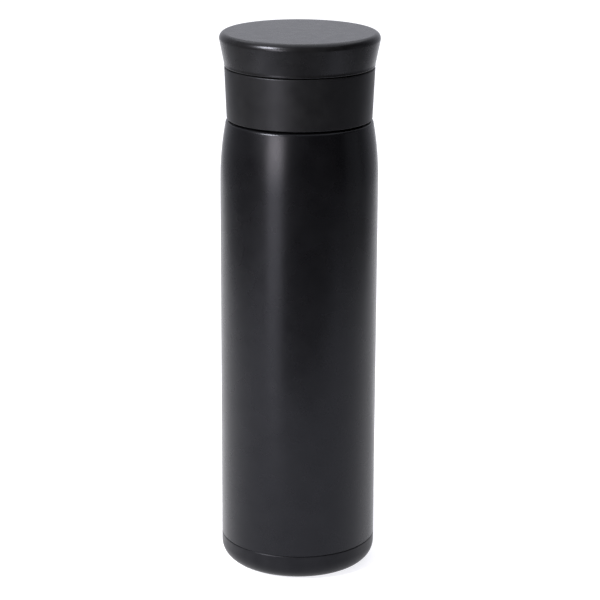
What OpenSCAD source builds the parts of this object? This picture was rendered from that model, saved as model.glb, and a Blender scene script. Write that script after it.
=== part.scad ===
// Slim double-wall vacuum flask with a drinking collar and a screw lid.
// Millimetres, +Z up. The origin is the centre of the foot, on the surface that the flask stands on.
// The lid unscrews from the collar, and the collar unscrews from the steel neck. Both threads are
// right-handed, with the same lead.

/* [Body] */
// Outside diameter of the painted steel body
body_d = 67.3; // [62:0.1:84]
// Height of the painted steel shell, from the base seam to its top edge
shell_h = 185.5; // [120:0.1:260]
// Height of the curved shoulder at the top of the shell
shoulder_h = 26; // [14:0.5:36]
// Radius of the shoulder's curve, seen from the side
shoulder_r = 138; // [120:1:300]
// Radius of the rolled edge where the shoulder turns in under the collar
edge_r = 1.2; // [0.6:0.1:1.4]
// Wall of the outer steel shell
shell_t = 0.5; // [0.4:0.05:0.6]
// Wall of the inner steel liner
liner_t = 0.4; // [0.3:0.05:0.6]
// Vacuum gap between the shell and the liner
vacuum_gap = 2.3; // [1.6:0.1:4]
// Corner radius at the bottom of the liner
liner_corner_r = 10; // [5:0.5:14]
// Rise of the liner's domed floor at its middle
floor_dome = 1.5; // [0.5:0.1:3]

/* [Neck] */
// Height of the neck's rim above the top edge of the shell
neck_h = 12.4; // [11:0.1:18]
// Vacuum gap inside the neck
neck_gap = 1.1; // [0.8:0.1:1.5]

/* [Threads] */
// Rise of each thread in one turn
thread_lead = 8; // [6:0.5:10]
// Number of starts on each thread
thread_starts = 2; // [1:1:3]
// Depth of each thread ridge
thread_depth = 0.9; // [0.6:0.05:1.1]
// Width of a thread ridge where it leaves the wall
thread_root_w = 2.0; // [1.4:0.1:2.4]
// Width of a thread ridge at its crest
thread_crest_w = 1.0; // [0.6:0.1:1.2]
// Radial gap between a thread's crest and the facing wall
thread_gap = 0.35; // [0.3:0.05:0.5]
// Angle covered by each ridge of the neck thread
neck_sweep = 270; // [120:10:300]
// Angle covered by each ridge of the lid thread
lid_sweep = 180; // [90:10:220]

/* [Base] */
// Height of the base cup's top edge above the table
base_h = 12; // [11:0.1:20]
// Step from the painted body in to the base cup
base_inset = 0; // [0:0.1:1]
// Wall of the base cup
base_t = 1.0; // [0.8:0.1:1.5]
// Corner radius at the foot of the base cup
base_corner_r = 7.6; // [5:0.1:9]
// Width of the seam between the base cup and the shell
base_seam = 0.1; // [0.1:0.1:0.6]
// Radius of the base cup's top edge, under the seam
base_lip_r = 0.5; // [0.2:0.1:0.6]
// Diameter of the non-slip pad
pad_d = 43; // [25:0.5:46]
// Thickness of the non-slip pad
pad_t = 1.3; // [1:0.1:2]
// Height by which the pad stands proud of the base cup
pad_proud = 0.3; // [0.2:0.1:0.5]

/* [Collar] */
// Height of the collar
collar_h = 21.9; // [20:0.1:30]
// Step from the shell's top edge in to the foot of the collar
collar_step = 0.32; // [0:0.01:1]
// Amount by which the collar's radius grows from its foot to its top
collar_flare = 0.95; // [0:0.05:2]
// Wall of the collar's sleeve
collar_t = 1.5; // [1.2:0.1:2]
// Width of the seam under the collar
collar_seam = 0.8; // [0.3:0.05:1]
// Width of the seam under the lid
lid_seam = 0.5; // [0.3:0.05:0.8]
// Height of the collar's threaded skirt above the shell's top edge, and of the lid's above the collar
skirt_lift = 1; // [0.8:0.1:1.2]
// Wall of the spout
spout_t = 2; // [1.6:0.1:2.4]
// Wall of the collar's threaded skirt and of the lid's threaded skirt
skirt_t = 1.6; // [1.2:0.1:2]
// Thickness of the ledge that presses the neck gasket
ledge_t = 2; // [1.5:0.1:3]
// How far the ledge reaches in past the neck's bore
ledge_lap = 2; // [1.5:0.1:4]
// Thickness of the neck gasket
gasket_t = 1.3; // [1:0.1:2]

/* [Lid] */
// Height of the lid
lid_h = 14.2; // [13:0.1:22]
// Height of the lid's straight foot, below the flare
lid_foot_h = 1.0; // [0.5:0.1:3]
// Slope of the lid's flared side, outward run over rise
lid_slope = 0.197; // [0:0.001:0.3]
// Radius of the lid's top rim
lid_rim_r = 2.6; // [1.5:0.1:3]
// Wall of the lid's shell and the thickness of its top
lid_t = 1.8; // [1.4:0.1:2.5]
// Thickness of the disc of the lid's core
core_t = 1.6; // [1.2:0.1:2.5]
// Gap between the plug and the spout, which the plug's gasket closes
plug_gap = 0.7; // [0.5:0.1:1.5]
// Height of the plug's bottom above the underside of the ledge
plug_seat = 1; // [0:0.1:3]
// Depth of the groove for the plug's gasket
groove_depth = 1.3; // [0.8:0.1:1.8]
// Height of the plug's gasket
plug_gasket_h = 4.5; // [3:0.1:6]
// Wall of the plug
plug_t = 1.4; // [1:0.1:2]
// Thickness of the cap that closes the plug
plug_cap_t = 2; // [1.5:0.1:3]

/* [Hidden] */
$fn = 96;

// Clearances: pressed pieces in one body, the sleeve round the skirt, pieces that turn on each other,
// and silicone against walls
press_gap = 0.05;
sleeve_gap = 0.13;
turn_gap = 0.1;
lip_gap = 0.12;

// Heights, from the table up
shell_z = base_h + base_seam;
shell_top = shell_z + shell_h;
shoulder_z = shell_top - shoulder_h;
rim_z = shell_top + neck_h;
ledge_z = rim_z + gasket_t + 2 * turn_gap;
collar_z = shell_top + collar_seam;
collar_top = collar_z + collar_h;
lid_z = collar_top + lid_seam;
lid_top = lid_z + lid_h;
core_top = lid_top - lid_t;
core_z = core_top - core_t;
rim_clear = 0.4;
spout_top = core_z - rim_clear;

// Radii of the steel body
body_r = body_d / 2;
shoulder_top_r = body_r - shoulder_r + sqrt(pow(shoulder_r, 2) - pow(shoulder_h, 2));
liner_r = body_r - shell_t - vacuum_gap;

// Radii of the collar, from the sleeve in to the neck that its skirt screws on
collar_r0 = shoulder_top_r - collar_step;
collar_r1 = collar_r0 + collar_flare;
skirt_out = collar_r0 - collar_t - sleeve_gap;
skirt_in = skirt_out - skirt_t;
neck_r = skirt_in - thread_gap - thread_depth;
liner_neck_r = neck_r - shell_t - neck_gap;
spout_in = liner_neck_r - liner_t - ledge_lap;
spout_out = spout_in + spout_t;
skirt_z = shell_top + skirt_lift;

// Sizes of the base; the shell's spigot goes down as far as the base cup's wall is straight
base_r = body_r - base_inset;
spigot_r = base_r - base_t - press_gap;
spigot_z = pad_proud + base_corner_r;
pad_r = pad_d / 2;
pad_recess_t = pad_t - pad_proud;
cup_floor_t = 1.2;

// The plate that closes the vacuum space, and what is on it
plate_t = 0.5;
plate_flange_h = 2.6;
plate_top = spigot_z + plate_flange_h;
dish_r = 22;
dish_slope_r = 24;
dish_depth = 0.8;
vent_r = 1;
bead_r = 3;
bead_h = 1.3;
getter_r = 4;
getter_h = 1.5;
getter_x = 12;
clip_w = 3;
clip_t = 0.3;
clip_foot = 2.5;
foil_t = 0.1;
foil_margin = 2;

// The liner's floor, where its cup is welded to the liner, and where its shoulder ends
floor_gap = 2.3;
floor_z = plate_top + floor_gap;
liner_joint_z = floor_z + liner_corner_r;
liner_shoulder_gap = 4.6;
liner_shoulder_top = shell_top - liner_shoulder_gap;

// Radii of the lid and the plug
lid_step = 0.05;
lid_r0 = collar_r1 + lid_step;
core_in = spout_out + thread_depth + thread_gap;
core_out = core_in + skirt_t;
core_skirt_z = collar_top + skirt_lift;
plug_r = spout_in - plug_gap;
plug_z = ledge_z + plug_seat + plug_cap_t;
groove_top = plug_z + plug_gasket_h + 2 * turn_gap;
plug_in = plug_r - groove_depth - plug_t;
cap_spigot_h = 2;

// Threads: how far a ridge is sunk into its wall, its steps, how soon it fades out, and how high the
// lowest ridge stands above the step below it
thread_sink = 0.3;
thread_step = 10;
thread_fade = 3;
neck_thread_foot = 1.3;
lid_thread_foot = 1.5;
neck_thread_z = shell_top + thread_root_w / 2 + neck_thread_foot;
lid_thread_z = collar_top + thread_root_w / 2 + lid_thread_foot;

// Steps along each curved stretch of an outline
shoulder_steps = 10;
liner_steps = 12;
corner_steps = 6;
foot_steps = 10;
rim_steps = 8;
edge_steps = 4;

// Points along an arc about (x, z), from angle a0 to angle a1
function arc(x, z, r, a0, a1, steps) =
    [for (i = [0 : steps]) let (a = a0 + (a1 - a0) * i / steps) [x + r * cos(a), z + r * sin(a)]];

// A list of points the other way round
function reversed(list) = [for (i = [len(list) - 1 : -1 : 0]) list[i]];

// The shoulder's curve, drawn a wall thickness inside its outer face, from its foot to its top
function shoulder(inset) =
    let (swing = asin(shoulder_h / shoulder_r))
    arc(body_r - shoulder_r, shoulder_z, shoulder_r - inset, 0, swing, shoulder_steps);

// The liner's shoulder: an S-curve in from the liner's wall to its neck
function liner_shoulder(inset) =
    [for (i = [0 : liner_steps])
        let (s = i / liner_steps, blend = (1 - cos(180 * s)) / 2)
        [liner_r + (liner_neck_r - liner_r) * blend - inset,
         shoulder_z + (liner_shoulder_top - shoulder_z) * s]];

// One cross-section of a thread ridge: four points round its root and crest
function ridge_section(r, reach, z, grow) =
    let (side = sign(reach), crest = r - side * thread_sink / 2 + (reach + side * thread_sink / 2) * grow)
    [[r - side * thread_sink, z - thread_root_w / 2],
     [crest, z - thread_crest_w / 2],
     [crest, z + thread_crest_w / 2],
     [r - side * thread_sink, z + thread_root_w / 2]];

// One helical ridge that fades into the wall at both ends; a negative reach points inward
module thread_ridge(r, reach, z, sweep) {
    steps = round(sweep / thread_step);
    sections = [for (i = [0 : steps])
        ridge_section(r, reach, z + thread_lead * sweep / 360 * i / steps,
                      min(1, i / thread_fade, (steps - i) / thread_fade))];
    points = [for (i = [0 : steps]) for (p = sections[i])
        [p[0] * cos(sweep * i / steps), p[0] * sin(sweep * i / steps), p[1]]];
    sides = [for (i = [0 : steps - 1]) for (k = [0 : 3])
        let (a = 4 * i + k, b = 4 * i + (k + 1) % 4)
        each [[a, b, a + 4], [b, b + 4, a + 4]]];
    ends = [[2, 1, 0], [3, 2, 0], [4 * steps, 4 * steps + 1, 4 * steps + 2],
            [4 * steps, 4 * steps + 2, 4 * steps + 3]];
    faces = concat(sides, ends);
    polyhedron(points, reach > 0 ? faces : [for (f = faces) reversed(f)]);
}

// All the starts of a thread, turned by a part of the space between two starts
module thread(r, reach, z, sweep, turned = 0) {
    for (i = [0 : thread_starts - 1])
        rotate((i + turned) * 360 / thread_starts)
            thread_ridge(r, reach, z, sweep);
}

// A ring with square edges
module ring(r_out, r_in, z0, z1) {
    rotate_extrude()
        polygon([[r_in, z0], [r_out, z0], [r_out, z1], [r_in, z1]]);
}

// Painted steel outer shell: spigot for the base cup, body, shoulder, ledge and threaded neck
module outer_shell() {
    edge_x = shoulder_top_r - edge_r;
    edge_z = shell_top - edge_r;
    outer = concat(
        [[spigot_r, spigot_z], [spigot_r, shell_z], [body_r, shell_z]],
        [for (p = shoulder(0)) if (p[1] < edge_z) p],
        arc(edge_x, edge_z, edge_r, 0, 90, edge_steps),
        [[neck_r, shell_top], [neck_r, rim_z - liner_t]]);
    inner = concat(
        [[spigot_r - shell_t, spigot_z], [spigot_r - shell_t, shell_z + shell_t],
         [body_r - shell_t, shell_z + shell_t]],
        [for (p = shoulder(shell_t)) if (p[1] < edge_z - shell_t) p],
        [[edge_x, shell_top - shell_t], [neck_r - shell_t, shell_top - shell_t],
         [neck_r - shell_t, rim_z - liner_t]]);
    color("#1c1c20") {
        rotate_extrude()
            polygon(concat(outer, reversed(inner)));
        thread(neck_r, thread_depth, neck_thread_z, neck_sweep);
    }
}

// Steel liner: wall, shoulder, neck, and a lip folded out over the shell's neck
module inner_liner() {
    outer = concat([[liner_r, liner_joint_z]], liner_shoulder(0),
                   [[liner_neck_r, rim_z - liner_t], [neck_r, rim_z - liner_t], [neck_r, rim_z]]);
    inner = concat([[liner_r - liner_t, liner_joint_z]], liner_shoulder(liner_t),
                   [[liner_neck_r - liner_t, rim_z]]);
    color("#c4c6c8")
        rotate_extrude()
            polygon(concat(outer, reversed(inner)));
}

// Half outline of the liner's floor, from its rim down round the corner to the middle of the dome; the
// dome's arc stops short of the corner, and a straight stretch joins them
dome_reach = 0.75;
function floor_line(inset) =
    let (flat_r = liner_r - liner_corner_r, dome_r = (pow(flat_r, 2) + pow(floor_dome, 2)) / (2 * floor_dome),
         swing = dome_reach * asin(flat_r / dome_r))
    concat(arc(flat_r, liner_joint_z, liner_corner_r - inset, 0, -90, corner_steps),
           arc(0, floor_z + inset + floor_dome - dome_r, dome_r, 90 - swing, 90, edge_steps));

// Domed cup welded to the bottom of the liner
module liner_base() {
    color("#bcbec2")
        rotate_extrude()
            polygon(concat(floor_line(0), reversed(floor_line(liner_t))));
}

// Copper foil wrapped round the liner, inside the vacuum
module heat_shield() {
    color("#b8734a")
        ring(liner_r + press_gap + foil_t, liner_r + press_gap,
             liner_joint_z + foil_margin, shoulder_z - foil_margin);
}

// Dished steel plate that closes the vacuum space, with a vent at its middle
module vacuum_base_plate() {
    rim_r = spigot_r - shell_t;
    color("#a9abae")
        rotate_extrude()
            polygon([[rim_r, spigot_z], [rim_r, plate_top], [dish_slope_r, plate_top],
                     [dish_r, plate_top - dish_depth], [vent_r, plate_top - dish_depth],
                     [vent_r, plate_top - dish_depth - plate_t],
                     [dish_r, plate_top - dish_depth - plate_t],
                     [dish_slope_r, plate_top - plate_t], [rim_r - plate_t, plate_top - plate_t],
                     [rim_r - plate_t, spigot_z]]);
}

// Bead that seals the vent from below
module seal_bead() {
    plate_under = plate_top - dish_depth - plate_t;
    color("#8a8f86")
        translate([0, 0, plate_under])
            rotate_extrude()
                polygon(concat([[0, 0]], [for (i = [0 : corner_steps])
                    let (a = 90 * i / corner_steps) [bead_r * cos(a), -bead_h * sin(a)]]));
}

// Getter pill, on the vacuum side of the plate
module getter() {
    color("#6d6f72")
        translate([getter_x, 0, plate_top - dish_depth])
            cylinder(h = getter_h, r = getter_r);
}

// Spring-steel strap that holds the getter down
module getter_clip() {
    span = getter_r + press_gap;
    plate_face = plate_top - dish_depth;
    clip_top = plate_face + getter_h + clip_t;
    color("#9fa2a6")
        translate([getter_x, clip_w / 2, 0])
            rotate([90, 0, 0])
                linear_extrude(clip_w)
                    polygon([[-span - clip_foot, plate_face], [-span, plate_face],
                             [-span, clip_top - clip_t], [span, clip_top - clip_t],
                             [span, plate_face], [span + clip_foot, plate_face],
                             [span + clip_foot, plate_face + clip_t],
                             [span + clip_t, plate_face + clip_t], [span + clip_t, clip_top],
                             [-span - clip_t, clip_top], [-span - clip_t, plate_face + clip_t],
                             [-span - clip_foot, plate_face + clip_t]]);
}

// Base cup: pressed over the shell's spigot, with a recess for the pad
module base_cup() {
    corner_x = base_r - base_corner_r;
    corner_z = pad_proud + base_corner_r;
    recess_r = pad_r + turn_gap;
    recess_z = pad_proud + pad_recess_t;
    outer = concat([[0, recess_z], [recess_r, recess_z], [recess_r, pad_proud]],
                   arc(corner_x, corner_z, base_corner_r, -90, 0, foot_steps),
                   arc(base_r - base_lip_r, base_h - base_lip_r, base_lip_r, 0, 90, edge_steps));
    inner = concat([[0, recess_z + cup_floor_t]],
                   [for (p = arc(corner_x, corner_z, base_corner_r - base_t, -90, 0, foot_steps))
                       if (p[1] > recess_z + cup_floor_t) p],
                   [[base_r - base_t, base_h]]);
    color("#1a1a1d")
        rotate_extrude()
            polygon(concat(outer, reversed(inner)));
}

// Silicone non-slip pad under the base cup
module base_pad() {
    chamfer = 0.3;
    color("#2a2a2c")
        rotate_extrude()
            polygon([[0, 0], [pad_r - chamfer, 0], [pad_r, chamfer], [pad_r, pad_t], [0, pad_t]]);
}

// Silicone ring between the neck's rim and the collar's ledge
module neck_gasket() {
    color("#8d9094")
        ring(neck_r, liner_neck_r - liner_t, rim_z + turn_gap, rim_z + turn_gap + gasket_t);
}

// Outer sleeve of the collar: flared wall, top deck, and an inner ring that stands on the ledge
module collar_sleeve() {
    round_r = 0.4;
    boss_r = skirt_out - skirt_t;
    deck_z = collar_top - collar_t;
    color("#17171a")
        rotate_extrude()
            polygon([[collar_r0 - collar_t, collar_z], [collar_r0 - round_r, collar_z],
                     [collar_r0, collar_z + round_r], [collar_r1, collar_top - round_r],
                     [collar_r1 - round_r, collar_top], [spout_out + press_gap, collar_top],
                     [spout_out + press_gap, deck_z], [boss_r, deck_z], [boss_r, ledge_z + ledge_t],
                     [skirt_out, ledge_z + ledge_t], [skirt_out, deck_z],
                     [collar_r1 - collar_t, deck_z]]);
}

// Inner part of the collar: threaded skirt, ledge over the gasket, and the threaded drinking spout
module mouthpiece() {
    lip_r = spout_t / 2;
    color("#202023") {
        rotate_extrude()
            polygon(concat(
                [[skirt_in, skirt_z], [skirt_out, skirt_z], [skirt_out, ledge_z + ledge_t],
                 [spout_out, ledge_z + ledge_t]],
                arc(spout_in + lip_r, spout_top - lip_r, lip_r, 0, 180, rim_steps),
                [[spout_in, ledge_z], [skirt_in, ledge_z]]));
        thread(skirt_in, -thread_depth, neck_thread_z, neck_sweep, 0.5);
        thread(spout_out, thread_depth, lid_thread_z, lid_sweep);
    }
}

// Outer shell of the lid: short straight foot, flared side, rounded rim and flat top
module lid_shell() {
    lean = atan(lid_slope);
    rim_z0 = lid_top - lid_rim_r;
    flare_z = lid_z + lid_foot_h;
    rim_x = lid_r0 + (rim_z0 - flare_z) * lid_slope - lid_rim_r / cos(lean);
    round_r = 0.4;
    color("#18181b")
        rotate_extrude()
            polygon(concat(
                [[lid_r0 - lid_t, lid_z], [lid_r0 - round_r, lid_z], [lid_r0, lid_z + round_r],
                 [lid_r0, flare_z]],
                arc(rim_x, rim_z0, lid_rim_r, -lean, 90, rim_steps),
                [[0, lid_top], [0, core_top], [rim_x, core_top],
                 [rim_x + lid_rim_r - lid_t, rim_z0], [lid_r0 - lid_t, flare_z]]));
}

// Inner part of the lid: disc, threaded skirt with a flange at its foot, and the wall of the plug
module lid_core() {
    flange_r = lid_r0 - lid_t - press_gap;
    flange_t = 1.2;
    color("#222225") {
        rotate_extrude()
            polygon([[0, core_top], [core_out, core_top], [core_out, core_skirt_z + flange_t],
                     [flange_r, core_skirt_z + flange_t], [flange_r, core_skirt_z],
                     [core_in, core_skirt_z], [core_in, core_z], [plug_r, core_z],
                     [plug_r, groove_top], [plug_r - groove_depth, groove_top],
                     [plug_r - groove_depth, plug_z], [plug_in, plug_z], [plug_in, core_z], [0, core_z]]);
        thread(core_in, -thread_depth, lid_thread_z, lid_sweep, 0.5);
    }
}

// Cap that closes the plug from below, with a spigot pressed into the plug
module plug_cap() {
    cap_z = plug_z - plug_cap_t;
    chamfer = 0.5;
    color("#26262a")
        rotate_extrude()
            polygon([[0, cap_z], [plug_r - chamfer, cap_z], [plug_r, cap_z + chamfer],
                     [plug_r, plug_z], [plug_in - press_gap, plug_z],
                     [plug_in - press_gap, plug_z + cap_spigot_h], [0, plug_z + cap_spigot_h]]);
}

// Insulating foam inside the plug
module plug_foam() {
    color("#e9e6dc")
        translate([0, 0, plug_z + cap_spigot_h])
            cylinder(h = core_z - plug_z - cap_spigot_h, r = plug_in - press_gap);
}

// Silicone seal in the plug's groove, with two lips that face the spout
module plug_gasket() {
    seat_r = plug_r - groove_depth + turn_gap;
    foot_z = plug_z + turn_gap;
    lip_out = spout_in - lip_gap;
    lip_h = plug_gasket_h / 4;
    color("#9a9da1")
        rotate_extrude()
            polygon([[seat_r, foot_z], [plug_r, foot_z], [lip_out, foot_z + lip_h / 2],
                     [lip_out, foot_z + lip_h], [plug_r - groove_depth / 3, foot_z + lip_h * 1.5],
                     [plug_r - groove_depth / 3, foot_z + lip_h * 2.5],
                     [lip_out, foot_z + lip_h * 3], [lip_out, foot_z + lip_h * 3.5],
                     [plug_r, foot_z + plug_gasket_h], [seat_r, foot_z + plug_gasket_h]]);
}

outer_shell();
inner_liner();
liner_base();
heat_shield();
vacuum_base_plate();
seal_bead();
getter();
getter_clip();
base_cup();
base_pad();
neck_gasket();
collar_sleeve();
mouthpiece();
lid_shell();
lid_core();
plug_cap();
plug_foam();
plug_gasket();
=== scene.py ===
"""Slim vacuum flask: detailed visual pieces, materials and studio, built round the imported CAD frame."""
import math

import bpy
from mathutils import Matrix, Vector


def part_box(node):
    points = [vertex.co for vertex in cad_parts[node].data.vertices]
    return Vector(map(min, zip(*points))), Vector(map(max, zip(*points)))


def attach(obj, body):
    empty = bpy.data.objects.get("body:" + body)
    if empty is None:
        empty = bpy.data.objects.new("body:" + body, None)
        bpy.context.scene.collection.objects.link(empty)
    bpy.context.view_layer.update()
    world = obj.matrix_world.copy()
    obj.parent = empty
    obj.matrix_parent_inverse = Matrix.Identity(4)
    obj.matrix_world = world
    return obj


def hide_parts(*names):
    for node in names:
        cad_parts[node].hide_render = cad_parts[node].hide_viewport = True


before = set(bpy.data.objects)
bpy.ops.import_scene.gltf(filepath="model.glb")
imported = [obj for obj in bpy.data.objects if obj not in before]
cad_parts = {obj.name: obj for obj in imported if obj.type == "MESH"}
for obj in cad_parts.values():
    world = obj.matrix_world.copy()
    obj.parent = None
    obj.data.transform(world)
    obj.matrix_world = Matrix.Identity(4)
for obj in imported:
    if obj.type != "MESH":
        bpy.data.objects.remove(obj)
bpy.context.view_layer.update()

MM = 0.001
TAU = 2 * math.pi
SEGMENTS = 192            # faces round each turned piece
SMALL_SEGMENTS = 64       # the same, round the getter and the vent's bead
ARC_STEP = math.radians(12)
EDGE = 0.12 * MM          # fillet of an edge that has no radius of its own
ON_AXIS = 1e-9            # a point nearer to the Z axis than this is on it
SAME_WALL = 0.02 * MM     # points whose radii differ by less than this are on one wall
THREAD_ROW = 0.2 * MM     # height of a row of faces on a threaded wall


# ---------------------------------------------------------------- measures
def low(node):
    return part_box(node)[0].z


def high(node):
    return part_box(node)[1].z


def radius(node):
    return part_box(node)[1].y


# Sizes of the design that no box tells
COLLAR_SEAM = 0.8 * MM
SKIRT_LIFT = 1.0 * MM
SHELL_T = 0.5 * MM
LINER_T = 0.4 * MM
SHOULDER_H = 26 * MM
SHOULDER_R = 138 * MM
ROLLED_EDGE_R = 1.2 * MM
NECK_GAP = 1.1 * MM
LINER_SHOULDER_GAP = 4.6 * MM
LINER_CORNER_R = 10 * MM
FLOOR_DOME = 1.5 * MM
BASE_SEAM = 0.1 * MM
BASE_T = 1.0 * MM
BASE_CORNER_R = 7.6 * MM
BASE_LIP_R = 0.5 * MM
PAD_GAP = 0.1 * MM
CUP_FLOOR_T = 1.2 * MM
PLATE_T = 0.5 * MM
DISH_R = 22 * MM
DISH_SLOPE_R = 24 * MM
DISH_DEPTH = 0.8 * MM
VENT_R = 1 * MM
CLIP_T = 0.3 * MM
PRESS_GAP = 0.05 * MM
TURN_GAP = 0.1 * MM
COLLAR_T = 1.5 * MM
COLLAR_FLARE = 0.95 * MM
SPOUT_T = 2 * MM
SKIRT_T = 1.6 * MM
LEDGE_T = 2 * MM
LEDGE_LAP = 2 * MM
LID_STEP = 0.05 * MM
LID_FOOT_H = 1.0 * MM
LID_SLOPE = 0.197
LID_RIM_R = 2.6 * MM
LID_T = 1.8 * MM
CORE_T = 1.6 * MM
FLANGE_T = 1.2 * MM
GROOVE_DEPTH = 1.3 * MM
PLUG_T = 1.4 * MM
THREAD_LEAD = 8 * MM
THREAD_STARTS = 2
THREAD_DEPTH = 0.9 * MM
THREAD_GAP = 0.35 * MM
THREAD_ROOT_W = 2.0 * MM
THREAD_CREST_W = 1.0 * MM
NECK_SWEEP = math.radians(270)
LID_SWEEP = math.radians(180)
THREAD_FADE = math.radians(30)
NECK_THREAD_FOOT = 1.3 * MM
LID_THREAD_FOOT = 1.5 * MM

# Places read from the frame
body_r = radius("outer_shell")
spigot_z = low("outer_shell")
base_top = high("base_cup")
shell_z = base_top + BASE_SEAM
collar_z = low("collar_sleeve")
collar_top = high("collar_sleeve")
shell_top = collar_z - COLLAR_SEAM
rim_z = high("inner_liner")
neck_r = radius("neck_gasket")
liner_r = radius("inner_liner")
liner_neck_r = neck_r - SHELL_T - NECK_GAP
liner_joint_z = low("inner_liner")
shoulder_z = shell_top - SHOULDER_H
spigot_r = radius("base_cup") - BASE_T - PRESS_GAP
skirt_out = radius("mouthpiece")
skirt_in = skirt_out - SKIRT_T
spout_in = liner_neck_r - LINER_T - LEDGE_LAP
spout_out = spout_in + SPOUT_T
spout_top = high("mouthpiece")
ledge_z = high("neck_gasket") + TURN_GAP
lid_z = low("lid_shell")
lid_top = high("lid_shell")
core_top = high("lid_core")
core_z = core_top - CORE_T
core_in = spout_out + THREAD_DEPTH + THREAD_GAP
core_out = core_in + SKIRT_T
plug_r = radius("plug_cap")
plug_z = low("lid_core")
plug_in = plug_r - GROOVE_DEPTH - PLUG_T
neck_thread_z = shell_top + THREAD_ROOT_W / 2 + NECK_THREAD_FOOT
lid_thread_z = collar_top + THREAD_ROOT_W / 2 + LID_THREAD_FOOT


# ---------------------------------------------------------------- outlines
def arc(x, z, r, start, end, steps=None):
    """Points along an arc about (x, z), with its angles in degrees."""
    a, b = math.radians(start), math.radians(end)
    steps = steps or max(2, round(abs(b - a) / ARC_STEP))
    angles = [a + (b - a) * i / steps for i in range(steps + 1)]
    return [(x + r * math.cos(t), z + r * math.sin(t)) for t in angles]


def fillet(before, corner, after, size):
    """The arc of that radius that rounds one corner of an outline."""
    here = Vector(corner)
    back, ahead = Vector(before) - here, Vector(after) - here
    half = back.angle(ahead) / 2
    if size <= 0 or half > math.radians(89) or half < math.radians(2):
        return [corner]
    reach = min(size / math.tan(half), 0.45 * back.length, 0.45 * ahead.length)
    size = reach * math.tan(half)
    middle = here + (back.normalized() + ahead.normalized()).normalized() * (size / math.sin(half))
    first = here + back.normalized() * reach - middle
    last = here + ahead.normalized() * reach - middle
    turn = first.angle_signed(last)
    steps = max(3, round(abs(turn) / ARC_STEP))
    points = []
    for i in range(steps + 1):
        angle = -turn * i / steps
        c, s = math.cos(angle), math.sin(angle)
        points.append((middle.x + first.x * c - first.y * s, middle.y + first.x * s + first.y * c))
    return points


def outline(*parts):
    """A closed outline, made of corners (r, z), corners with a fillet (r, z, size) and lists of points."""
    corners = []
    for part in parts:
        if isinstance(part, list):
            corners += [(r, z, 0) for r, z in part]
        else:
            corners.append(part if len(part) == 3 else (*part, EDGE))
    points = []
    for i, (r, z, size) in enumerate(corners):
        before, after = corners[i - 1], corners[(i + 1) % len(corners)]
        points += [(r, z)] if r < ON_AXIS else fillet(before[:2], (r, z), after[:2], size)
    return points


def divided(points, longest, threaded=()):
    """The outline with its long stretches cut up, and cut finely on each threaded wall (r, bottom, top)."""
    result = []
    for i, (r, z) in enumerate(points):
        r2, z2 = points[(i + 1) % len(points)]
        result.append((r, z))
        if r < ON_AXIS and r2 < ON_AXIS:
            continue
        fine = any(max(abs(r - wall_r), abs(r2 - wall_r)) < SAME_WALL
                   and bottom <= min(z, z2) and max(z, z2) <= top for wall_r, bottom, top in threaded)
        count = math.ceil(math.hypot(r2 - r, z2 - z) / (THREAD_ROW if fine else longest))
        result += [(r + (r2 - r) * k / count, z + (z2 - z) * k / count) for k in range(1, count)]
    return result


# ---------------------------------------------------------------- meshes
def thread_field(wall_r, reach, z, sweep, turned=0.0):
    """A function of angle and place that gives how far a thread's ridges stand off their wall there."""
    bottom = z - THREAD_ROOT_W
    top = z + THREAD_LEAD * sweep / TAU + THREAD_ROOT_W

    def smooth(t):
        t = min(1.0, max(0.0, t))
        return t * t * (3 - 2 * t)

    def offset(angle, r, height):
        if abs(r - wall_r) > SAME_WALL or not bottom < height < top:
            return 0.0
        best = 0.0
        for start in range(THREAD_STARTS):
            along = (angle - (start + turned) * TAU / THREAD_STARTS) % TAU
            if along > sweep:
                continue
            away = abs(height - z - THREAD_LEAD * along / TAU)
            flank = (THREAD_ROOT_W / 2 - away) / ((THREAD_ROOT_W - THREAD_CREST_W) / 2)
            end = smooth(min(along, sweep - along) / THREAD_FADE)
            best = max(best, smooth(flank) * end)
        return reach * best

    return offset


def turned_mesh(name, points, offsets=(), segments=SEGMENTS):
    """Turns a closed outline about the Z axis into a smooth mesh."""
    verts, rings = [], []
    for r, z in points:
        if r < ON_AXIS:
            rings.append([len(verts)])
            verts.append((0.0, 0.0, z))
            continue
        rings.append(list(range(len(verts), len(verts) + segments)))
        for k in range(segments):
            angle = TAU * k / segments
            here = r + sum(offset(angle, r, z) for offset in offsets)
            verts.append((here * math.cos(angle), here * math.sin(angle), z))
    faces = []
    for i, ring in enumerate(rings):
        after = rings[(i + 1) % len(rings)]
        if len(ring) == 1 and len(after) == 1:
            continue
        for k in range(segments):
            k2 = (k + 1) % segments
            if len(ring) == 1:
                faces.append((ring[0], after[k2], after[k]))
            elif len(after) == 1:
                faces.append((ring[k], ring[k2], after[0]))
            else:
                faces.append((ring[k], ring[k2], after[k2], after[k]))
    mesh = bpy.data.meshes.new(name)
    mesh.from_pydata(verts, [], faces)
    mesh.validate()
    mesh.update()
    mesh.shade_smooth()
    return mesh


def piece(name, node, body, mesh, material):
    """Links a mesh as the piece that stands for a CAD node and rides on its body."""
    obj = bpy.data.objects.new(name, mesh)
    bpy.context.scene.collection.objects.link(obj)
    mesh.materials.append(material)
    weighted = obj.modifiers.new("even_normals", "WEIGHTED_NORMAL")
    weighted.keep_sharp = True
    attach(obj, body)
    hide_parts(node)
    return obj


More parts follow.
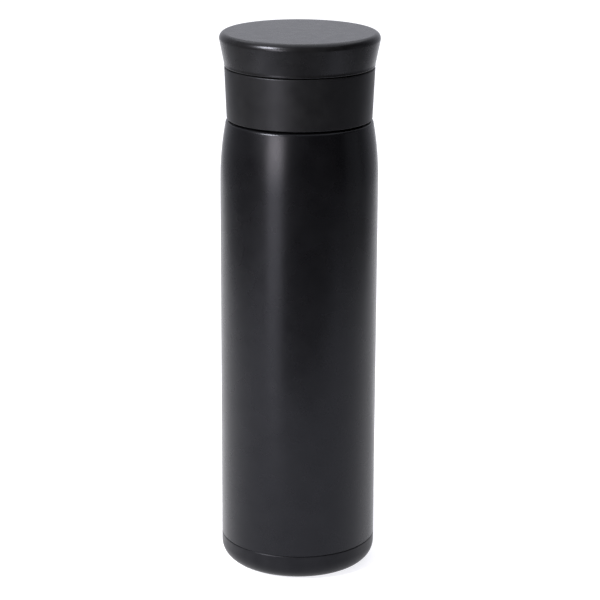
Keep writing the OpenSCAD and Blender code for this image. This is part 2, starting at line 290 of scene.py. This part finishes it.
# ---------------------------------------------------------------- materials
class Nodes:
    """Short names for building one material's node tree."""

    def __init__(self, name):
        self.material = bpy.data.materials.new(name)
        self.material.use_nodes = True
        self.tree = self.material.node_tree
        self.shader = self.tree.nodes["Principled BSDF"]
        self.place = self.add("ShaderNodeTexCoord").outputs["Object"]

    def add(self, kind, **settings):
        node = self.tree.nodes.new(kind)
        for key, value in settings.items():
            setattr(node, key, value)
        return node

    def join(self, output, socket):
        self.tree.links.new(output, socket)

    def set(self, **values):
        for key, value in values.items():
            self.shader.inputs[key.replace("_", " ")].default_value = value

    def noise(self, grain, detail=2.0, roughness=0.5, vector=None):
        """Noise whose blobs are about as wide as grain, in metres."""
        node = self.add("ShaderNodeTexNoise")
        node.inputs["Scale"].default_value = 1 / grain
        node.inputs["Detail"].default_value = detail
        node.inputs["Roughness"].default_value = roughness
        self.join(vector or self.place, node.inputs["Vector"])
        return node.outputs["Fac"]

    def spread(self, value, low_out, high_out, low_in=0.3, high_in=0.7):
        node = self.add("ShaderNodeMapRange")
        limits = {"From Min": low_in, "From Max": high_in, "To Min": low_out, "To Max": high_out}
        for key, number in limits.items():
            node.inputs[key].default_value = number
        self.join(value, node.inputs["Value"])
        return node.outputs["Result"]

    def maths(self, operation, a, b=None):
        node = self.add("ShaderNodeMath", operation=operation)
        for socket, value in zip(node.inputs, (a, b)):
            if isinstance(value, (int, float)):
                socket.default_value = value
            elif value is not None:
                self.join(value, socket)
        return node.outputs[0]

    def blend(self, factor, dark, light):
        """A colour between two colours."""
        node = self.add("ShaderNodeMix", data_type="RGBA")
        for socket, value in ((node.inputs[6], dark), (node.inputs[7], light)):
            if isinstance(value, tuple):
                socket.default_value = (*value, 1)
            else:
                self.join(value, socket)
        self.join(factor, node.inputs[0])
        return node.outputs[2]

    def bump(self, height, depth, strength=1.0, below=None):
        node = self.add("ShaderNodeBump")
        node.inputs["Strength"].default_value = strength
        node.inputs["Distance"].default_value = depth
        self.join(height, node.inputs["Height"])
        if below is not None:
            self.join(below, node.inputs["Normal"])
        return node.outputs["Normal"]

    def around(self, stretch):
        """A vector for grain that runs round the Z axis: it changes fast across rings, slowly along them."""
        parts = self.add("ShaderNodeSeparateXYZ")
        self.join(self.place, parts.inputs[0])
        x, y, z = parts.outputs
        r = self.maths("SQRT", self.maths("ADD", self.maths("MULTIPLY", x, x), self.maths("MULTIPLY", y, y)))
        r = self.maths("MAXIMUM", r, 0.1 * MM)
        across = self.maths("ADD", z, r)
        vector = self.add("ShaderNodeCombineXYZ")
        self.join(self.maths("MULTIPLY", self.maths("DIVIDE", x, r), stretch), vector.inputs[0])
        self.join(self.maths("MULTIPLY", self.maths("DIVIDE", y, r), stretch), vector.inputs[1])
        self.join(across, vector.inputs[2])
        return vector.outputs[0]


# Bluish tint on the reflections of the paint and plastics: painted reflection colour, the bluish cast of the
# studio light put into the coatings, which reflect colourless light themselves.
PAINTED_BLUE_REFLECTION_TINT = (0.86, 0.88, 1.0, 1)


def painted(name, colour, roughness):
    """Baked satin paint: faint orange peel, slow changes in gloss, and a little dust in the colour."""
    n = Nodes(name)
    dusty = tuple(c * 1.35 + 0.0006 for c in colour)
    n.join(n.blend(n.spread(n.noise(9 * MM, 4), 0, 1), colour, dusty), n.shader.inputs["Base Color"])
    n.join(n.spread(n.noise(14 * MM, 3), roughness - 0.015, roughness + 0.025), n.shader.inputs["Roughness"])
    peel = n.bump(n.noise(1.1 * MM, 1), 0.012 * MM, 0.6)
    n.join(n.bump(n.noise(0.22 * MM, 2), 0.004 * MM, 0.7, peel), n.shader.inputs["Normal"])
    # The specular tint is a painted bluish reflection: the colour of the studio light, not of the paint.
    n.set(IOR=1.5, Specular_IOR_Level=0.2, Specular_Tint=PAINTED_BLUE_REFLECTION_TINT)
    return n.material


def moulded(name, colour, roughness, grain=0.28 * MM, depth=0.008 * MM, specular=0.2):
    """Moulded plastic with a fine spark-eroded skin."""
    n = Nodes(name)
    worn = tuple(c * 1.5 + 0.0008 for c in colour)
    n.join(n.blend(n.spread(n.noise(6 * MM, 4), 0, 1), colour, worn), n.shader.inputs["Base Color"])
    n.join(n.spread(n.noise(4 * MM, 3), roughness - 0.015, roughness + 0.015), n.shader.inputs["Roughness"])
    skin = n.bump(n.noise(grain, 3, 0.6), depth, 0.8)
    n.join(skin, n.shader.inputs["Normal"])
    # The specular tint is a painted bluish reflection: the colour of the studio light, not of the plastic.
    n.set(IOR=1.5, Specular_IOR_Level=specular, Specular_Tint=PAINTED_BLUE_REFLECTION_TINT)
    return n.material


def silicone(name, colour, roughness=0.5):
    """Matt silicone rubber, slightly cloudy."""
    n = Nodes(name)
    pale = tuple(c * 1.12 for c in colour)
    n.join(n.blend(n.spread(n.noise(5 * MM, 3), 0, 1), colour, pale), n.shader.inputs["Base Color"])
    n.join(n.spread(n.noise(2 * MM, 2), roughness - 0.05, roughness + 0.05), n.shader.inputs["Roughness"])
    n.join(n.bump(n.noise(0.3 * MM, 2), 0.006 * MM, 0.6), n.shader.inputs["Normal"])
    n.set(IOR=1.41, Sheen_Weight=0.15, Sheen_Roughness=0.5)
    return n.material


def steel(name, colour=(0.6, 0.59, 0.575), roughness=0.27):
    """Stainless steel, polished in rings round the axis."""
    n = Nodes(name)
    rings = n.around(4 * MM)
    fine = n.noise(0.09 * MM, 3, 0.6, rings)
    broad = n.noise(1.2 * MM, 2, 0.5, rings)
    shade = n.spread(broad, 0, 1)
    n.join(n.blend(shade, tuple(c * 0.86 for c in colour), colour), n.shader.inputs["Base Color"])
    n.join(n.spread(fine, roughness - 0.06, roughness + 0.1), n.shader.inputs["Roughness"])
    n.join(n.bump(fine, 0.004 * MM, 0.5), n.shader.inputs["Normal"])
    n.set(Metallic=1.0, Anisotropic=0.4)
    return n.material


def foil(name):
    """Wrinkled copper foil with faint heat tint."""
    n = Nodes(name)
    tint = n.blend(n.spread(n.noise(20 * MM, 3), 0, 1), (0.68, 0.31, 0.17), (0.78, 0.44, 0.26))
    n.join(tint, n.shader.inputs["Base Color"])
    n.join(n.spread(n.noise(5 * MM, 3), 0.18, 0.34), n.shader.inputs["Roughness"])
    creases = n.add("ShaderNodeTexVoronoi", feature="DISTANCE_TO_EDGE")
    creases.inputs["Scale"].default_value = 1 / (7 * MM)
    n.join(n.place, creases.inputs["Vector"])
    soft = n.bump(n.noise(4 * MM, 3), 0.08 * MM, 0.7)
    n.join(n.bump(n.spread(creases.outputs["Distance"], 0, 1, 0, 0.12), 0.03 * MM, 0.6, soft),
           n.shader.inputs["Normal"])
    n.set(Metallic=1.0)
    return n.material


def foam(name):
    """Closed-cell foam: pale beads pressed together."""
    n = Nodes(name)
    cells = n.add("ShaderNodeTexVoronoi", feature="F1")
    cells.inputs["Scale"].default_value = 1 / (2.2 * MM)
    n.join(n.place, cells.inputs["Vector"])
    bead = n.spread(cells.outputs["Distance"], 1, 0, 0.1, 0.7)
    n.join(n.blend(bead, (0.6, 0.58, 0.52), (0.82, 0.8, 0.74)), n.shader.inputs["Base Color"])
    n.join(n.bump(bead, 0.25 * MM, 0.7), n.shader.inputs["Normal"])
    n.set(Roughness=0.85, Subsurface_Weight=0.1, Subsurface_Scale=1 * MM)
    return n.material


def sintered(name):
    """Pressed metal powder."""
    n = Nodes(name)
    speck = n.noise(0.15 * MM, 3, 0.7)
    colour = n.blend(n.spread(speck, 0, 1), (0.1, 0.1, 0.105), (0.26, 0.26, 0.27))
    n.join(colour, n.shader.inputs["Base Color"])
    n.join(n.bump(speck, 0.04 * MM, 0.8), n.shader.inputs["Normal"])
    n.set(Metallic=0.7, Roughness=0.6)
    return n.material


def solder_glass(name):
    """Dark solder glass that has run and set."""
    n = Nodes(name)
    n.join(n.blend(n.spread(n.noise(1.5 * MM, 3), 0, 1), (0.2, 0.22, 0.19), (0.36, 0.38, 0.34)),
           n.shader.inputs["Base Color"])
    n.join(n.spread(n.noise(1 * MM, 2), 0.08, 0.2), n.shader.inputs["Roughness"])
    n.join(n.bump(n.noise(1.5 * MM, 1), 0.03 * MM, 0.5), n.shader.inputs["Normal"])
    n.set(IOR=1.6)
    return n.material


BODY_PAINT = painted("body_paint", (0.0018, 0.0018, 0.0022), 0.27)
BASE_PLASTIC = moulded("base_plastic", (0.003, 0.003, 0.0036), 0.36, specular=0.13)
COLLAR_PLASTIC = moulded("collar_plastic", (0.0034, 0.0034, 0.0037), 0.4, specular=0.17)
LID_PLASTIC = moulded("lid_plastic", (0.0034, 0.0034, 0.0037), 0.28, depth=0.003 * MM)
MOUTH_PLASTIC = moulded("mouth_plastic", (0.012, 0.012, 0.013), 0.34, grain=0.5 * MM, depth=0.004 * MM)
PAD_SILICONE = silicone("pad_silicone", (0.02, 0.02, 0.021), 0.6)
SEAL_SILICONE = silicone("seal_silicone", (0.36, 0.37, 0.385), 0.42)
LINER_STEEL = steel("liner_steel")
PLAIN_STEEL = steel("plain_steel", (0.5, 0.5, 0.5), 0.35)
COPPER_FOIL = foil("copper_foil")
FOAM = foam("plug_foam_beads")
GETTER_POWDER = sintered("getter_powder")
SOLDER = solder_glass("solder_glass")


# ---------------------------------------------------------------- flask body
def shoulder(inset):
    """The shoulder's curve, a wall thickness inside its outer face, from its foot up to the rolled edge."""
    swing = math.degrees(math.asin(SHOULDER_H / SHOULDER_R))
    centre = body_r - SHOULDER_R
    points = arc(centre, shoulder_z, SHOULDER_R - inset, 0, swing, 24)
    return [p for p in points if p[1] < shell_top - ROLLED_EDGE_R]


def outer_shell():
    top_r = body_r - SHOULDER_R + math.sqrt(SHOULDER_R ** 2 - SHOULDER_H ** 2)
    neck_top = rim_z - LINER_T
    inner_r, inner_top = neck_r - SHELL_T, shell_top - SHELL_T
    points = outline(
        (spigot_r, spigot_z), (spigot_r, shell_z), (body_r, shell_z, 0.15 * MM),
        shoulder(0), (top_r, shell_top, ROLLED_EDGE_R),
        (neck_r, shell_top, 0.4 * MM), (neck_r, neck_top), (inner_r, neck_top),
        (inner_r, inner_top, 0.4 * MM), (top_r - SHELL_T, inner_top, 0.4 * MM),
        shoulder(SHELL_T)[::-1],
        (body_r - SHELL_T, shell_z + SHELL_T), (spigot_r - SHELL_T, shell_z + SHELL_T),
        (spigot_r - SHELL_T, spigot_z))
    field = thread_field(neck_r, THREAD_DEPTH, neck_thread_z, NECK_SWEEP)
    rows = divided(points, 8 * MM, [(neck_r, shell_top, neck_top)])
    piece("shell_painted", "outer_shell", "flask", turned_mesh("shell_painted", rows, [field]), BODY_PAINT)


def liner_shoulder(inset):
    """S-curve from the liner's wall in to its neck."""
    top = shell_top - LINER_SHOULDER_GAP
    points = []
    for i in range(33):
        s = i / 32
        blend = (1 - math.cos(math.pi * s)) / 2
        r = liner_r + (liner_neck_r - liner_r) * blend
        points.append((r - inset, shoulder_z + (top - shoulder_z) * s))
    return points


def inner_liner():
    lip_z = rim_z - LINER_T
    points = outline(
        (liner_r, liner_joint_z), liner_shoulder(0), (liner_neck_r, lip_z, 0.2 * MM),
        (neck_r, lip_z, 0.05 * MM), (neck_r, rim_z, 0.18 * MM), (liner_neck_r - LINER_T, rim_z, 0.3 * MM),
        liner_shoulder(LINER_T)[::-1], (liner_r - LINER_T, liner_joint_z))
    mesh = turned_mesh("liner_wall", divided(points, 10 * MM))
    piece("liner_wall", "inner_liner", "flask", mesh, LINER_STEEL)


def liner_floor_line(inset):
    """From the liner floor's rim, round its corner, to the middle of its dome."""
    flat_r = liner_r - LINER_CORNER_R
    dome_r = (flat_r ** 2 + FLOOR_DOME ** 2) / (2 * FLOOR_DOME)
    swing = math.degrees(math.asin(flat_r / dome_r)) * 0.8
    floor_z = low("liner_base")
    corner = arc(flat_r, liner_joint_z, LINER_CORNER_R - inset, 0, -90, 18)
    return corner + arc(0, floor_z + inset + FLOOR_DOME - dome_r, dome_r, 90 - swing, 90, 8)


def liner_base():
    points = outline(liner_floor_line(0), liner_floor_line(LINER_T)[::-1])
    piece("liner_floor", "liner_base", "flask", turned_mesh("liner_floor", points), LINER_STEEL)


def heat_shield():
    inner, outer = liner_r + PRESS_GAP, radius("heat_shield")
    bottom, top = low("heat_shield"), high("heat_shield")

    def wrinkles(angle, r, z):
        wave = math.sin(9 * angle + 210 * z) * math.sin(5 * angle - 340 * z)
        wave += 0.5 * math.sin(23 * angle + 900 * z)
        return 0.02 * MM * (1 + wave / 1.5)

    points = outline((inner, bottom, 0), (outer, bottom, 0), (outer, top, 0), (inner, top, 0))
    mesh = turned_mesh("copper_wrap", divided(points, 2 * MM), [wrinkles])
    piece("copper_wrap", "heat_shield", "flask", mesh, COPPER_FOIL)


def vacuum_base_plate():
    """Dished plate with a turned-down rim and the hole that the vent bead closes."""
    rim_r, foot, top = radius("vacuum_base_plate"), low("vacuum_base_plate"), high("vacuum_base_plate")
    dish = top - DISH_DEPTH
    soft = 1.5 * MM
    points = outline(
        (rim_r, foot), (rim_r, top, 0.6 * MM), (DISH_SLOPE_R, top, soft),
        (DISH_R, dish, soft), (VENT_R, dish), (VENT_R, dish - PLATE_T), (DISH_R, dish - PLATE_T, soft),
        (DISH_SLOPE_R, top - PLATE_T, soft), (rim_r - PLATE_T, top - PLATE_T, 0.3 * MM),
        (rim_r - PLATE_T, foot))
    piece("vacuum_plate", "vacuum_base_plate", "flask", turned_mesh("vacuum_plate", points), PLAIN_STEEL)


def seal_bead():
    r, top, bottom = radius("seal_bead"), high("seal_bead"), low("seal_bead")
    drop = [(r * math.cos(math.radians(a)), top - (top - bottom) * math.sin(math.radians(a)))
            for a in range(0, 91, 6)]
    drop[-1] = (0, bottom)
    mesh = turned_mesh("vent_bead", outline((0, top), drop), segments=SMALL_SEGMENTS)
    piece("vent_bead", "seal_bead", "flask", mesh, SOLDER)


def getter():
    mid = (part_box("getter")[0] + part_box("getter")[1]) / 2
    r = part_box("getter")[1].x - mid.x
    points = outline((0, low("getter")), (r, low("getter"), 0.15 * MM), (r, high("getter"), 0.3 * MM),
                     (0.45 * r, high("getter"), 0.3 * MM), (0.4 * r, high("getter") - 0.3 * MM, 0.3 * MM),
                     (0, high("getter") - 0.3 * MM))
    mesh = turned_mesh("getter_pill", points, segments=SMALL_SEGMENTS)
    mesh.transform(Matrix.Translation((mid.x, mid.y, 0)))
    piece("getter_pill", "getter", "flask", mesh, GETTER_POWDER)


def getter_clip():
    """A bent strip: the strap's outline, swept along its width."""
    lo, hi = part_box("getter_clip")
    t = CLIP_T
    pill = (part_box("getter")[1].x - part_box("getter")[0].x) / 2 + PRESS_GAP
    mid = (lo.x + hi.x) / 2
    points = outline(
        (lo.x, lo.z, 0.05 * MM), (mid - pill, lo.z, 0.1 * MM), (mid - pill, hi.z - t, 0.1 * MM),
        (mid + pill, hi.z - t, 0.1 * MM), (mid + pill, lo.z, 0.1 * MM), (hi.x, lo.z, 0.05 * MM),
        (hi.x, lo.z + t, 0.05 * MM), (mid + pill + t, lo.z + t, 0.2 * MM),
        (mid + pill + t, hi.z, 0.3 * MM), (mid - pill - t, hi.z, 0.3 * MM),
        (mid - pill - t, lo.z + t, 0.2 * MM), (lo.x, lo.z + t, 0.05 * MM))
    count = len(points)
    verts = [(x, y, z) for y in (lo.y, hi.y) for x, z in points]
    faces = [(i, (i + 1) % count, count + (i + 1) % count, count + i) for i in range(count)]
    faces += [tuple(range(count))[::-1], tuple(range(count, 2 * count))]
    mesh = bpy.data.meshes.new("getter_strap")
    mesh.from_pydata(verts, [], faces)
    mesh.update()
    obj = piece("getter_strap", "getter_clip", "flask", mesh, PLAIN_STEEL)
    bevel = obj.modifiers.new("soft_edges", "BEVEL")
    bevel.width = 0.05 * MM
    bevel.segments = 2


def base_cup():
    r, bottom = radius("base_cup"), low("base_cup")
    centre_r, centre_z = r - BASE_CORNER_R, bottom + BASE_CORNER_R
    recess_r, recess_z = radius("base_pad") + PAD_GAP, high("base_pad")
    floor_z = recess_z + CUP_FLOOR_T
    inside = [p for p in arc(centre_r, centre_z, BASE_CORNER_R - BASE_T, 0, -90, 18) if p[1] > floor_z]
    points = outline(
        (0, recess_z), (recess_r, recess_z), (recess_r, bottom, 0.2 * MM),
        arc(centre_r, centre_z, BASE_CORNER_R, -90, 0, 24), (r, base_top, BASE_LIP_R),
        (r - BASE_T, base_top), inside, (0, floor_z))
    piece("foot_cup", "base_cup", "flask", turned_mesh("foot_cup", divided(points, 8 * MM)), BASE_PLASTIC)


def base_pad():
    """Pad with two shallow ring grooves."""
    r, top = radius("base_pad"), high("base_pad")
    corners = [(0, 0)]
    for groove_r in (0.42 * r, 0.84 * r):
        half = 0.6 * MM
        corners += [(groove_r - half, 0, 0.2 * MM), (groove_r - half, 0.4 * MM, 0.15 * MM),
                    (groove_r + half, 0.4 * MM, 0.15 * MM), (groove_r + half, 0, 0.2 * MM)]
    corners += [(r, 0, 0.3 * MM), (r, top, 0.1 * MM), (0, top)]
    mesh = turned_mesh("foot_pad", divided(outline(*corners), 5 * MM))
    piece("foot_pad", "base_pad", "flask", mesh, PAD_SILICONE)


# ---------------------------------------------------------------- collar
def neck_gasket():
    bottom, top = low("neck_gasket"), high("neck_gasket")
    inner = liner_neck_r - LINER_T
    points = outline((inner, bottom, 0.3 * MM), (neck_r, bottom, 0.3 * MM), (neck_r, top, 0.3 * MM),
                     (inner, top, 0.3 * MM))
    piece("neck_seal", "neck_gasket", "collar_seal", turned_mesh("neck_seal", points), SEAL_SILICONE)


def collar_sleeve():
    r1 = radius("collar_sleeve")
    r0 = r1 - COLLAR_FLARE
    deck_z = collar_top - COLLAR_T
    boss_r = skirt_out - SKIRT_T
    foot_z = ledge_z + LEDGE_T
    hole_r = spout_out + PRESS_GAP
    points = outline(
        (r0 - COLLAR_T, collar_z), (r0, collar_z, 0.4 * MM), (r1, collar_top, 0.45 * MM),
        (hole_r, collar_top, 0.3 * MM), (hole_r, deck_z), (boss_r, deck_z, 0.3 * MM), (boss_r, foot_z),
        (skirt_out, foot_z), (skirt_out, deck_z, 0.3 * MM), (r1 - COLLAR_T, deck_z, 0.3 * MM))
    mesh = turned_mesh("collar_ring", divided(points, 4 * MM))
    piece("collar_ring", "collar_sleeve", "collar", mesh, COLLAR_PLASTIC)


def mouthpiece():
    lip = SPOUT_T / 2
    foot = low("mouthpiece")
    step_z = ledge_z + LEDGE_T
    points = outline(
        (skirt_in, foot, 0.3 * MM), (skirt_out, foot, 0.3 * MM), (skirt_out, step_z),
        (spout_out, step_z, 0.3 * MM), arc(spout_in + lip, spout_top - lip, lip, 0, 180, 14),
        (spout_in, ledge_z, 0.3 * MM), (skirt_in, ledge_z, 0.3 * MM))
    rows = divided(points, 8 * MM, [(skirt_in, foot, ledge_z), (spout_out, step_z, spout_top)])
    inside = thread_field(skirt_in, -THREAD_DEPTH, neck_thread_z, NECK_SWEEP, 0.5)
    outside = thread_field(spout_out, THREAD_DEPTH, lid_thread_z, LID_SWEEP)
    piece("spout", "mouthpiece", "collar", turned_mesh("spout", rows, [inside, outside]), MOUTH_PLASTIC)


# ---------------------------------------------------------------- lid
def lid_shell():
    r0 = radius("collar_sleeve") + LID_STEP
    lean = math.degrees(math.atan(LID_SLOPE))
    flare_z = lid_z + LID_FOOT_H
    rim_z0 = lid_top - LID_RIM_R
    rim_r = r0 + (rim_z0 - flare_z) * LID_SLOPE - LID_RIM_R / math.cos(math.radians(lean))
    points = outline(
        (r0 - LID_T, lid_z), (r0, lid_z, 0.35 * MM), (r0, flare_z, 6 * MM),
        arc(rim_r, rim_z0, LID_RIM_R, -lean, 90, 18),
        (0, lid_top), (0, core_top), (rim_r, core_top, 0.6 * MM),
        (rim_r + LID_RIM_R - LID_T, rim_z0, 0.6 * MM), (r0 - LID_T, flare_z, 0.6 * MM))
    piece("lid_cover", "lid_shell", "lid", turned_mesh("lid_cover", divided(points, 5 * MM)), LID_PLASTIC)


def lid_core():
    flange_r = radius("lid_core")
    foot = collar_top + SKIRT_LIFT
    flange_top = foot + FLANGE_T
    groove_r = plug_r - GROOVE_DEPTH
    groove_top = high("plug_gasket") + TURN_GAP
    points = outline(
        (0, core_top), (core_out, core_top), (core_out, flange_top, 0.3 * MM), (flange_r, flange_top),
        (flange_r, foot, 0.15 * MM), (core_in, foot, 0.4 * MM), (core_in, core_z, 0.4 * MM),
        (plug_r, core_z, 0.4 * MM), (plug_r, groove_top), (groove_r, groove_top), (groove_r, plug_z),
        (plug_in, plug_z), (plug_in, core_z, 0.3 * MM), (0, core_z))
    rows = divided(points, 8 * MM, [(core_in, foot, core_z)])
    field = thread_field(core_in, -THREAD_DEPTH, lid_thread_z, LID_SWEEP, 0.5)
    piece("lid_inner", "lid_core", "lid", turned_mesh("lid_inner", rows, [field]), MOUTH_PLASTIC)


def plug_cap():
    """Cap with a shallow dish below and the small mark that the mould's gate leaves."""
    bottom, top = low("plug_cap"), high("plug_cap")
    dish = 0.5 * MM
    gate_r = 0.9 * MM
    points = outline(
        (0, bottom + 0.2 * MM), (gate_r, bottom + 0.2 * MM, 0.1 * MM), (gate_r, bottom + dish, 0.1 * MM),
        (0.8 * plug_r, bottom + dish, 1.0 * MM), (0.86 * plug_r, bottom, 0.6 * MM),
        (plug_r, bottom, 0.7 * MM), (plug_r, plug_z), (plug_in - PRESS_GAP, plug_z),
        (plug_in - PRESS_GAP, top), (0, top))
    piece("plug_end", "plug_cap", "lid", turned_mesh("plug_end", divided(points, 5 * MM)), MOUTH_PLASTIC)


def plug_foam():
    r = radius("plug_foam")
    points = outline((0, low("plug_foam")), (r, low("plug_foam"), 0.4 * MM), (r, high("plug_foam"), 0.4 * MM),
                     (0, high("plug_foam")))
    piece("plug_filling", "plug_foam", "lid", turned_mesh("plug_filling", divided(points, 3 * MM)), FOAM)


def plug_gasket():
    seat_r = plug_r - GROOVE_DEPTH + TURN_GAP
    lip_r = radius("plug_gasket")
    foot, top = low("plug_gasket"), high("plug_gasket")
    h = (top - foot) / 4
    waist = plug_r - GROOVE_DEPTH / 3
    soft = 0.25 * MM
    points = outline(
        (seat_r, foot, 0.1 * MM), (plug_r, foot, soft), (lip_r, foot + 0.5 * h, soft),
        (lip_r, foot + h, soft), (waist, foot + 1.5 * h, soft), (waist, foot + 2.5 * h, soft),
        (lip_r, foot + 3 * h, soft), (lip_r, foot + 3.5 * h, soft), (plug_r, top, soft),
        (seat_r, top, 0.1 * MM))
    piece("plug_seal", "plug_gasket", "lid_seal", turned_mesh("plug_seal", points), SEAL_SILICONE)


# ---------------------------------------------------------------- studio
def camera():
    """A long lens in front of the flask, above it, looking down at its middle."""
    data = bpy.data.cameras.new("camera")
    data.sensor_width = 36
    data.lens = 133.75
    data.shift_x = 0.0021
    data.shift_y = -0.0010
    data.dof.use_dof = False
    obj = bpy.data.objects.new("camera", data)
    bpy.context.scene.collection.objects.link(obj)
    down, roll = math.radians(16.363), 0.0046
    aim = Matrix.Rotation(math.pi / 2 - down, 4, "X") @ Matrix.Rotation(roll, 4, "Z")
    obj.matrix_world = Matrix.Translation((0, -0.9259, 0.390)) @ aim
    bpy.context.scene.camera = obj


def floor():
    """A pale light table. It ends close in front of the flask, so that the front mirrors the dark room."""
    side, front, back, level = 0.45, -0.3, 2.5, -0.05 * MM
    mesh = bpy.data.meshes.new("studio_floor")
    corners = [(-side, front, level), (side, front, level), (side, back, level), (-side, back, level)]
    mesh.from_pydata(corners, [], [(0, 1, 2, 3)])
    n = Nodes("floor_paper")
    n.set(Base_Color=(0.35, 0.35, 0.36, 1), Roughness=0.9, Specular_IOR_Level=0.1,
          Emission_Color=(1.0, 1.0, 1.04, 1), Emission_Strength=0.84)
    mesh.materials.append(n.material)
    obj = bpy.data.objects.new("studio_floor", mesh)
    bpy.context.scene.collection.objects.link(obj)


def soft_box(name, place, target, width, height, power, colour=(1, 1, 1)):
    data = bpy.data.lights.new(name, "AREA")
    data.shape = "RECTANGLE"
    data.size, data.size_y = width, height
    data.energy = power
    data.color = colour
    obj = bpy.data.objects.new(name, data)
    bpy.context.scene.collection.objects.link(obj)
    obj.location = place
    obj.rotation_euler = (Vector(target) - Vector(place)).to_track_quat("-Z", "Y").to_euler()


def studio_world():
    """White to the camera; as light, a white wall behind the flask that darkens towards the front."""
    world = bpy.data.worlds.new("studio")
    bpy.context.scene.world = world
    world.use_nodes = True
    tree = world.node_tree

    def node(kind, inputs, **settings):
        made = tree.nodes.new(kind)
        for key, value in settings.items():
            setattr(made, key, value)
        for key, value in inputs.items():
            if isinstance(value, (int, float)):
                made.inputs[key].default_value = value
            else:
                tree.links.new(value, made.inputs[key])
        return made.outputs

    place = node("ShaderNodeTexCoord", {})["Generated"]
    towards_back = node("ShaderNodeSeparateXYZ", {0: place})[1]
    ramp = node("ShaderNodeMapRange", {"Value": towards_back, "From Min": -0.25, "From Max": 1.07})["Result"]
    wall = node("ShaderNodeMath", {0: ramp, 1: 1.8}, operation="POWER")[0]
    wall = node("ShaderNodeMath", {0: wall, 1: 0.02}, operation="MAXIMUM")[0]
    seen = node("ShaderNodeLightPath", {})["Is Camera Ray"]
    strength = node("ShaderNodeMix", {0: seen, 2: wall, 3: 1.1})[0]
    background = tree.nodes["Background"]
    background.inputs["Color"].default_value = (0.96, 0.97, 1.06, 1)
    tree.links.new(strength, background.inputs["Strength"])


def studio():
    view = bpy.context.scene.view_settings
    view.view_transform = "Standard"
    view.look = "None"
    studio_world()
    floor()
    soft_box("strip_left", (-0.70, -0.985, 0.27), (0, 0, 0.2), 0.44, 0.32, 7.5, (1.0, 0.93, 0.9))
    soft_box("strip_low", (-0.70, -0.985, -0.05), (0, 0, 0.1), 0.44, 0.32, 2.4, (1.0, 0.98, 1.0))
    soft_box("key_left", (-0.85, -0.72, 0.85), (0, 0, 0.2), 0.42, 0.5, 48, (1.0, 0.99, 0.98))
    soft_box("fill_right", (1.1, -0.1, 0.15), (0, 0, 0.15), 0.55, 0.7, 0.45, (0.97, 0.98, 1.0))
    soft_box("overhead", (0, 0.6, 1.7), (0, 0.6, 0), 2.4, 2.4, 30, (0.97, 0.98, 1.0))


camera()
studio()
outer_shell()
inner_liner()
liner_base()
heat_shield()
vacuum_base_plate()
seal_bead()
getter()
getter_clip()
base_cup()
base_pad()
neck_gasket()
collar_sleeve()
mouthpiece()
lid_shell()
lid_core()
plug_cap()
plug_foam()
plug_gasket()
